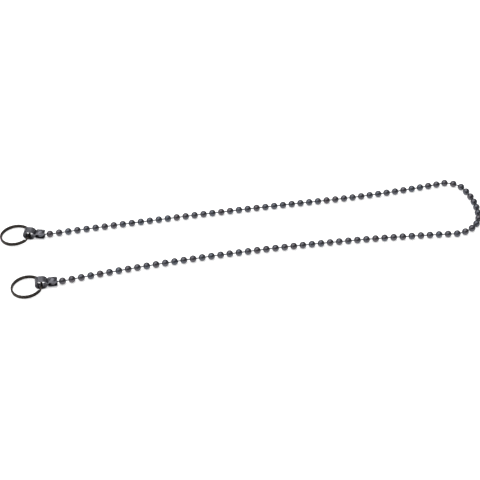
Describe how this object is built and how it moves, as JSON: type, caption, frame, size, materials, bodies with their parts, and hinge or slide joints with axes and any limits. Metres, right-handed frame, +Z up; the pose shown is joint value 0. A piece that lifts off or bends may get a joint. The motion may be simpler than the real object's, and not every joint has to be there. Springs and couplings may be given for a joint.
{
  "type": "ball chain",
  "caption": "Dark metal ball chain laid in a U, with a folded clasp and a split ring at each end; it bends between the beads",
  "frame": {"origin": "under the middle of the chain as it lies, at the height of the table", "axes": "+X runs along the legs of the U, toward its closed end, +Y points from the near leg to the far leg, and +Z is up from the table"},
  "size_m": [0.2206, 0.0508, 0.0045],
  "materials": {
    "bead_metal": "dark nickel plate, semi-bright",
    "clasp_metal": "dark nickel plate, semi-bright",
    "ring_metal": "dark nickel plate, semi-bright"
  },
  "bodies": {
    "chain_run_01": {"chain_run_01": "bead_metal"},
    "chain_run_02": {"chain_run_02": "bead_metal"},
    "chain_run_03": {"chain_run_03": "bead_metal"},
    "chain_run_04": {"chain_run_04": "bead_metal"},
    "chain_run_05": {"chain_run_05": "bead_metal"},
    "chain_run_06": {"chain_run_06": "bead_metal"},
    "chain_run_07": {"chain_run_07": "bead_metal"},
    "chain_run_08": {"chain_run_08": "bead_metal"},
    "chain_run_09": {"chain_run_09": "bead_metal"},
    "chain_run_10": {"chain_run_10": "bead_metal"},
    "chain_run_11": {"chain_run_11": "bead_metal"},
    "chain_run_12": {"chain_run_12": "bead_metal"},
    "chain_run_13": {"chain_run_13": "bead_metal"},
    "chain_run_14": {"chain_run_14": "bead_metal"},
    "chain_run_15": {"chain_run_15": "bead_metal"},
    "chain_run_16": {"chain_run_16": "bead_metal"},
    "chain_run_17": {"chain_run_17": "bead_metal"},
    "chain_run_18": {"chain_run_18": "bead_metal"},
    "chain_run_19": {"chain_run_19": "bead_metal"},
    "chain_run_20": {"chain_run_20": "bead_metal"},
    "chain_run_21": {"chain_run_21": "bead_metal"},
    "chain_run_22": {"chain_run_22": "bead_metal"},
    "chain_run_23": {"chain_run_23": "bead_metal"},
    "chain_run_24": {"chain_run_24": "bead_metal"},
    "chain_run_25": {"chain_run_25": "bead_metal"},
    "chain_run_26": {"chain_run_26": "bead_metal"},
    "chain_run_27": {"chain_run_27": "bead_metal"},
    "chain_run_28": {"chain_run_28": "bead_metal"},
    "chain_run_29": {"chain_run_29": "bead_metal"},
    "chain_run_30": {"chain_run_30": "bead_metal"},
    "chain_run_31": {"chain_run_31": "bead_metal"},
    "chain_run_32": {"chain_run_32": "bead_metal"},
    "chain_run_33": {"chain_run_33": "bead_metal"},
    "chain_run_34": {"chain_run_34": "bead_metal"},
    "clasp_far": {"clasp_far": "clasp_metal"},
    "split_ring_far": {"split_ring_far": "ring_metal"},
    "clasp_near": {"clasp_near": "clasp_metal"},
    "split_ring_near": {"split_ring_near": "ring_metal"}
  },
  "joints": [
    {"name": "run_01_tilt", "type": "hinge", "parent": "chain_run_02", "child": "chain_run_01", "pos_m": [-0.08025, 0.01603, 0.00162], "axis": [0.0197, -0.7068, -0.7071], "range_deg": [-18, 18]},
    {"name": "run_02_tilt", "type": "hinge", "parent": "chain_run_03", "child": "chain_run_02", "pos_m": [-0.06774, 0.01634, 0.00162], "axis": [-0.016, 0.7069, -0.7071], "range_deg": [-18, 18]},
    {"name": "run_03_tilt", "type": "hinge", "parent": "chain_run_04", "child": "chain_run_03", "pos_m": [-0.05523, 0.01659, 0.00162], "axis": [-0.0123, 0.707, 0.7071], "range_deg": [-18, 18]},
    {"name": "run_04_tilt", "type": "hinge", "parent": "chain_run_05", "child": "chain_run_04", "pos_m": [-0.04272, 0.01677, 0.00162], "axis": [0.0086, -0.7071, 0.7071], "range_deg": [-18, 18]},
    {"name": "run_05_tilt", "type": "hinge", "parent": "chain_run_06", "child": "chain_run_05", "pos_m": [-0.03021, 0.01688, 0.00162], "axis": [0.0049, -0.7071, -0.7071], "range_deg": [-18, 18]},
    {"name": "run_06_tilt", "type": "hinge", "parent": "chain_run_07", "child": "chain_run_06", "pos_m": [-0.0177, 0.01693, 0.00162], "axis": [-0.0012, 0.7071, -0.7071], "range_deg": [-18, 18]},
    {"name": "run_07_tilt", "type": "hinge", "parent": "chain_run_08", "child": "chain_run_07", "pos_m": [-0.00519, 0.01691, 0.00162], "axis": [0.0025, 0.7071, 0.7071], "range_deg": [-18, 18]},
    {"name": "run_08_tilt", "type": "hinge", "parent": "chain_run_09", "child": "chain_run_08", "pos_m": [0.00732, 0.01683, 0.00162], "axis": [-0.0062, -0.7071, 0.7071], "range_deg": [-18, 18]},
    {"name": "run_09_tilt", "type": "hinge", "parent": "chain_run_10", "child": "chain_run_09", "pos_m": [0.01982, 0.01668, 0.00162], "axis": [-0.0099, -0.707, -0.7071], "range_deg": [-18, 18]},
    {"name": "run_10_tilt", "type": "hinge", "parent": "chain_run_11", "child": "chain_run_10", "pos_m": [0.03233, 0.01646, 0.00162], "axis": [0.0136, 0.707, -0.7071], "range_deg": [-18, 18]},
    {"name": "run_11_tilt", "type": "hinge", "parent": "chain_run_12", "child": "chain_run_11", "pos_m": [0.04484, 0.01622, 0.00162], "axis": [0.0099, 0.707, 0.7071], "range_deg": [-18, 18]},
    {"name": "run_12_tilt", "type": "hinge", "parent": "chain_run_13", "child": "chain_run_12", "pos_m": [0.05735, 0.01624, 0.00162], "axis": [0.0086, -0.7071, 0.7071], "range_deg": [-18, 18]},
    {"name": "run_13_tilt", "type": "hinge", "parent": "chain_run_14", "child": "chain_run_13", "pos_m": [0.06986, 0.01659, 0.00162], "axis": [0.0271, -0.7066, -0.7071], "range_deg": [-18, 18]},
    {"name": "run_14_tilt", "type": "hinge", "parent": "chain_run_15", "child": "chain_run_14", "pos_m": [0.08235, 0.01727, 0.00162], "axis": [-0.0456, 0.7056, -0.7071], "range_deg": [-18, 18]},
    {"name": "run_15_tilt", "type": "hinge", "parent": "chain_run_16", "child": "chain_run_15", "pos_m": [0.09481, 0.01828, 0.00162], "axis": [-0.0641, 0.7042, 0.7071], "range_deg": [-18, 18]},
    {"name": "run_16_tilt", "type": "hinge", "parent": "chain_run_17", "child": "chain_run_16", "pos_m": [0.10595, 0.01481, 0.00162], "axis": [0.7302, 0.6833, 0], "range_deg": [-18, 18]},
    {"name": "run_17_tilt", "type": "hinge", "parent": "chain_run_18", "child": "chain_run_17", "pos_m": [0.10867, 0.00276, 0.00162], "axis": [-0.9976, -0.0698, 0], "range_deg": [-18, 18]},
    {"name": "run_19_tilt", "type": "hinge", "parent": "chain_run_18", "child": "chain_run_19", "pos_m": [0.10702, -0.00958, 0.00162], "axis": [0.965, -0.2622, 0], "range_deg": [-18, 18]},
    {"name": "run_20_tilt", "type": "hinge", "parent": "chain_run_19", "child": "chain_run_20", "pos_m": [0.09849, -0.01816, 0.00162], "axis": [-0.4368, 0.8996, 0], "range_deg": [-18, 18]},
    {"name": "run_21_tilt", "type": "hinge", "parent": "chain_run_20", "child": "chain_run_21", "pos_m": [0.08616, -0.01832, 0.00162], "axis": [0.0788, 0.7027, 0.7071], "range_deg": [-18, 18]},
    {"name": "run_22_tilt", "type": "hinge", "parent": "chain_run_21", "child": "chain_run_22", "pos_m": [0.07372, -0.01705, 0.00162], "axis": [0.0678, 0.7039, -0.7071], "range_deg": [-18, 18]},
    {"name": "run_23_tilt", "type": "hinge", "parent": "chain_run_22", "child": "chain_run_23", "pos_m": [0.06125, -0.01597, 0.00162], "axis": [-0.0567, -0.7048, -0.7071], "range_deg": [-18, 18]},
    {"name": "run_24_tilt", "type": "hinge", "parent": "chain_run_23", "child": "chain_run_24", "pos_m": [0.04877, -0.01508, 0.00162], "axis": [-0.0456, -0.7056, 0.7071], "range_deg": [-18, 18]},
    {"name": "run_25_tilt", "type": "hinge", "parent": "chain_run_24", "child": "chain_run_25", "pos_m": [0.03628, -0.01439, 0.00162], "axis": [0.0345, 0.7063, 0.7071], "range_deg": [-18, 18]},
    {"name": "run_26_tilt", "type": "hinge", "parent": "chain_run_25", "child": "chain_run_26", "pos_m": [0.02378, -0.0139, 0.00162], "axis": [0.0234, 0.7067, -0.7071], "range_deg": [-18, 18]},
    {"name": "run_27_tilt", "type": "hinge", "parent": "chain_run_26", "child": "chain_run_27", "pos_m": [0.01128, -0.01361, 0.00162], "axis": [-0.0123, -0.707, -0.7071], "range_deg": [-18, 18]},
    {"name": "run_28_tilt", "type": "hinge", "parent": "chain_run_27", "child": "chain_run_28", "pos_m": [-0.00123, -0.01351, 0.00162], "axis": [-0.0012, -0.7071, 0.7071], "range_deg": [-18, 18]},
    {"name": "run_29_tilt", "type": "hinge", "parent": "chain_run_28", "child": "chain_run_29", "pos_m": [-0.01374, -0.0136, 0.00162], "axis": [-0.0099, 0.707, 0.7071], "range_deg": [-18, 18]},
    {"name": "run_30_tilt", "type": "hinge", "parent": "chain_run_29", "child": "chain_run_30", "pos_m": [-0.02625, -0.0139, 0.00162], "axis": [-0.021, 0.7068, -0.7071], "range_deg": [-18, 18]},
    {"name": "run_31_tilt", "type": "hinge", "parent": "chain_run_30", "child": "chain_run_31", "pos_m": [-0.03875, -0.01439, 0.00162], "axis": [0.0321, -0.7064, -0.7071], "range_deg": [-18, 18]},
    {"name": "run_32_tilt", "type": "hinge", "parent": "chain_run_31", "child": "chain_run_32", "pos_m": [-0.05124, -0.01507, 0.00162], "axis": [0.0432, -0.7058, 0.7071], "range_deg": [-18, 18]},
    {"name": "run_33_tilt", "type": "hinge", "parent": "chain_run_32", "child": "chain_run_33", "pos_m": [-0.06372, -0.01596, 0.00162], "axis": [-0.0542, 0.705, 0.7071], "range_deg": [-18, 18]},
    {"name": "run_34_tilt", "type": "hinge", "parent": "chain_run_33", "child": "chain_run_34", "pos_m": [-0.07618, -0.01704, 0.00162], "axis": [-0.0653, 0.7041, -0.7071], "range_deg": [-18, 18]},
    {"name": "clasp_far_swing", "type": "hinge", "parent": "chain_run_01", "child": "clasp_far", "pos_m": [-0.09194, 0.01569, 0.00227], "axis": [0, 0, 1], "range_deg": [-81, 119]},
    {"name": "split_ring_far_swing", "type": "hinge", "parent": "clasp_far", "child": "split_ring_far", "pos_m": [-0.09739, 0.01735, 0.00227], "axis": [0.2924, 0.9563, 0], "range_deg": [-140, 170]},
    {"name": "clasp_near_swing", "type": "hinge", "parent": "chain_run_34", "child": "clasp_near", "pos_m": [-0.08933, -0.01839, 0.00227], "axis": [0, 0, 1], "range_deg": [-90, 110]},
    {"name": "split_ring_near_swing", "type": "hinge", "parent": "clasp_near", "child": "split_ring_near", "pos_m": [-0.09502, -0.01799, 0.00227], "axis": [0.0698, 0.9976, 0], "range_deg": [-140, 170]}
  ]
}
